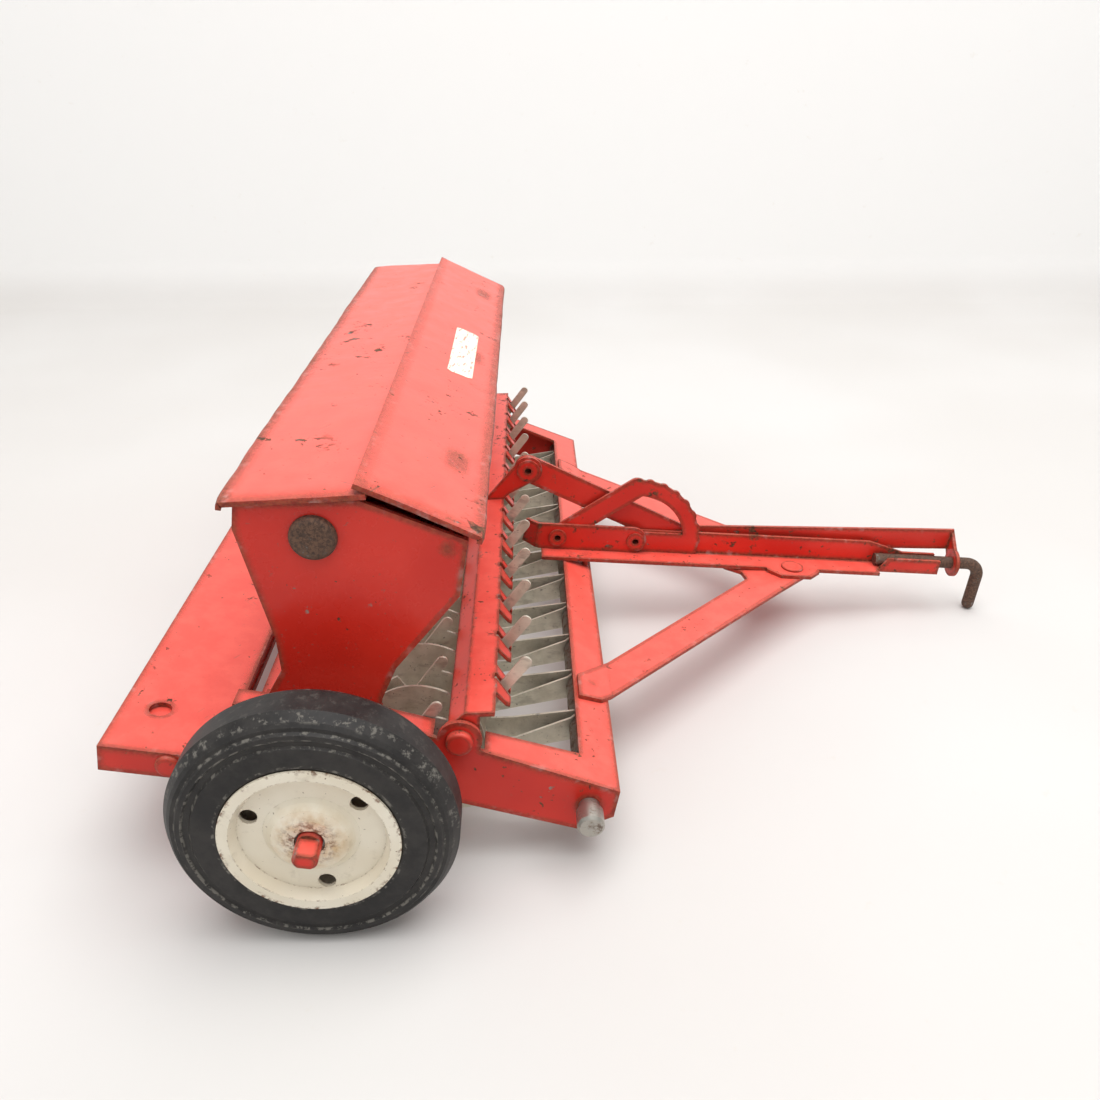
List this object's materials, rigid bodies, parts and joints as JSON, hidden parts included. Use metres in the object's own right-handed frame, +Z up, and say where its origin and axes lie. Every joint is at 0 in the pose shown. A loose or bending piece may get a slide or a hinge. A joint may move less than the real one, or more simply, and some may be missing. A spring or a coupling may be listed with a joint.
{
  "type": "toy grain drill",
  "caption": "Pressed-steel toy grain drill: lidded seed box on two rubber-tyred wheels, swinging double-disc openers worked by a sliding hitch rod, rear footboard.",
  "frame": {"origin": "on the floor, under the middle of the overall box", "axes": "+X forward towards the hitch, +Y to the machine's left, +Z up; the drill rests unhitched, nose down by 10 degrees, on its wheels and the tip of its hook"},
  "size_m": [0.2288, 0.2574, 0.0904],
  "materials": {
    "red_paint": "glossy red enamel over steel, chipped and rusted at the edges",
    "cream_paint": "cream enamel, stained with rust at the hub and the rim",
    "tyre": "aged black rubber with pale scuffs",
    "galvanised": "dull galvanised sheet with dark spots",
    "bare_steel": "dull bare steel",
    "rusty_steel": "browned steel with fine rust"
  },
  "bodies": {
    "frame": {"main_frame": "red_paint", "rear_footboard": "red_paint", "footboard_rivets": "red_paint", "hopper_trough": "red_paint", "hopper_end_right": "red_paint", "hopper_end_left": "red_paint", "hopper_end_rivets": "rusty_steel", "hopper_foot_rivets": "red_paint", "hopper_rear_panel": "red_paint", "lid_hinge_rod": "red_paint", "axle": "red_paint", "axle_spacers": "red_paint", "opener_rod": "bare_steel", "opener_spacers": "bare_steel", "tongue": "red_paint", "tongue_rivets": "red_paint", "tongue_strap": "red_paint", "tongue_eyelets": "red_paint", "quadrant": "red_paint", "v_brace": "red_paint", "brace_rivets": "red_paint", "rockshaft_pins": "red_paint"},
    "wheel_right": {"tyre_right": "tyre", "rim_outer_right": "cream_paint", "rim_inner_right": "cream_paint", "hub_bush_right": "bare_steel"},
    "wheel_left": {"tyre_left": "tyre", "rim_outer_left": "cream_paint", "rim_inner_left": "cream_paint", "hub_bush_left": "bare_steel"},
    "rockshaft": {"rockshaft": "red_paint", "rockshaft_crank": "red_paint", "crank_rivet": "red_paint"},
    "link": {"link_arm": "red_paint"},
    "drawbar": {"pull_bar": "red_paint", "link_pin": "rusty_steel", "hitch_rod": "rusty_steel"},
    "lid": {"hopper_lid": "red_paint"},
    "opener_01": {"opener_01": "galvanised"},
    "opener_02": {"opener_02": "galvanised"},
    "opener_03": {"opener_03": "galvanised"},
    "opener_04": {"opener_04": "galvanised"},
    "opener_05": {"opener_05": "galvanised"},
    "opener_06": {"opener_06": "galvanised"},
    "opener_07": {"opener_07": "galvanised"},
    "opener_08": {"opener_08": "galvanised"},
    "opener_09": {"opener_09": "galvanised"},
    "opener_10": {"opener_10": "galvanised"},
    "opener_11": {"opener_11": "galvanised"},
    "opener_12": {"opener_12": "galvanised"}
  },
  "joints": [
    {"name": "wheel_right_spin", "type": "hinge", "parent": "frame", "child": "wheel_right", "pos_m": [-0.06779, 0, 0.0275], "axis": [0, 1, 0], "continuous": true},
    {"name": "wheel_left_spin", "type": "hinge", "parent": "frame", "child": "wheel_left", "pos_m": [-0.06779, 0, 0.0275], "axis": [0, 1, 0], "continuous": true},
    {"name": "rockshaft_turn", "type": "hinge", "parent": "frame", "child": "rockshaft", "pos_m": [-0.04127, 0, 0.03277], "axis": [0, 1, 0], "range_deg": [-8, 0]},
    {"name": "link_turn", "type": "hinge", "parent": "rockshaft", "child": "link", "pos_m": [-0.02663, 0, 0.04786], "axis": [0, 1, 0], "range_deg": [-0.5, 10.59]},
    {"name": "drawbar_slide", "type": "slide", "parent": "frame", "child": "drawbar", "axis": [0.9976, 0, -0.0698], "range_m": [-0.00343, 0.0002]},
    {"name": "lid_open", "type": "hinge", "parent": "frame", "child": "lid", "pos_m": [-0.04132, 0, 0.07624], "axis": [0, 1, 0], "range_deg": [0, 62]},
    {"name": "opener_01_swing", "type": "hinge", "parent": "frame", "child": "opener_01", "pos_m": [-0.01467, 0, 0.01489], "axis": [0, 1, 0], "range_deg": [-7.6, 0.4]},
    {"name": "opener_02_swing", "type": "hinge", "parent": "frame", "child": "opener_02", "pos_m": [-0.01467, 0, 0.01489], "axis": [0, 1, 0], "range_deg": [-7.6, 0.4]},
    {"name": "opener_03_swing", "type": "hinge", "parent": "frame", "child": "opener_03", "pos_m": [-0.01467, 0, 0.01489], "axis": [0, 1, 0], "range_deg": [-7.6, 0.4]},
    {"name": "opener_04_swing", "type": "hinge", "parent": "frame", "child": "opener_04", "pos_m": [-0.01467, 0, 0.01489], "axis": [0, 1, 0], "range_deg": [-7.6, 0.4]},
    {"name": "opener_05_swing", "type": "hinge", "parent": "frame", "child": "opener_05", "pos_m": [-0.01467, 0, 0.01489], "axis": [0, 1, 0], "range_deg": [-7.6, 0.4]},
    {"name": "opener_06_swing", "type": "hinge", "parent": "frame", "child": "opener_06", "pos_m": [-0.01467, 0, 0.01489], "axis": [0, 1, 0], "range_deg": [-7.6, 0.4]},
    {"name": "opener_07_swing", "type": "hinge", "parent": "frame", "child": "opener_07", "pos_m": [-0.01467, 0, 0.01489], "axis": [0, 1, 0], "range_deg": [-7.6, 0.4]},
    {"name": "opener_08_swing", "type": "hinge", "parent": "frame", "child": "opener_08", "pos_m": [-0.01467, 0, 0.01489], "axis": [0, 1, 0], "range_deg": [-7.6, 0.4]},
    {"name": "opener_09_swing", "type": "hinge", "parent": "frame", "child": "opener_09", "pos_m": [-0.01467, 0, 0.01489], "axis": [0, 1, 0], "range_deg": [-7.6, 0.4]},
    {"name": "opener_10_swing", "type": "hinge", "parent": "frame", "child": "opener_10", "pos_m": [-0.01467, 0, 0.01489], "axis": [0, 1, 0], "range_deg": [-7.6, 0.4]},
    {"name": "opener_11_swing", "type": "hinge", "parent": "frame", "child": "opener_11", "pos_m": [-0.01467, 0, 0.01489], "axis": [0, 1, 0], "range_deg": [-7.6, 0.4]},
    {"name": "opener_12_swing", "type": "hinge", "parent": "frame", "child": "opener_12", "pos_m": [-0.01467, 0, 0.01489], "axis": [0, 1, 0], "range_deg": [-7.6, 0.4]}
  ],
  "couplings": [
    {"joint": "link_turn", "follows": "rockshaft_turn", "ratio": -1.2613},
    {"joint": "drawbar_slide", "follows": "rockshaft_turn", "m_per_rad": 0.022392},
    {"joint": "opener_01_swing", "follows": "rockshaft_turn", "ratio": 0.9},
    {"joint": "opener_02_swing", "follows": "rockshaft_turn", "ratio": 0.9},
    {"joint": "opener_03_swing", "follows": "rockshaft_turn", "ratio": 0.9},
    {"joint": "opener_04_swing", "follows": "rockshaft_turn", "ratio": 0.9},
    {"joint": "opener_05_swing", "follows": "rockshaft_turn", "ratio": 0.9},
    {"joint": "opener_06_swing", "follows": "rockshaft_turn", "ratio": 0.9},
    {"joint": "opener_07_swing", "follows": "rockshaft_turn", "ratio": 0.9},
    {"joint": "opener_08_swing", "follows": "rockshaft_turn", "ratio": 0.9},
    {"joint": "opener_09_swing", "follows": "rockshaft_turn", "ratio": 0.9},
    {"joint": "opener_10_swing", "follows": "rockshaft_turn", "ratio": 0.9},
    {"joint": "opener_11_swing", "follows": "rockshaft_turn", "ratio": 0.9},
    {"joint": "opener_12_swing", "follows": "rockshaft_turn", "ratio": 0.9}
  ]
}
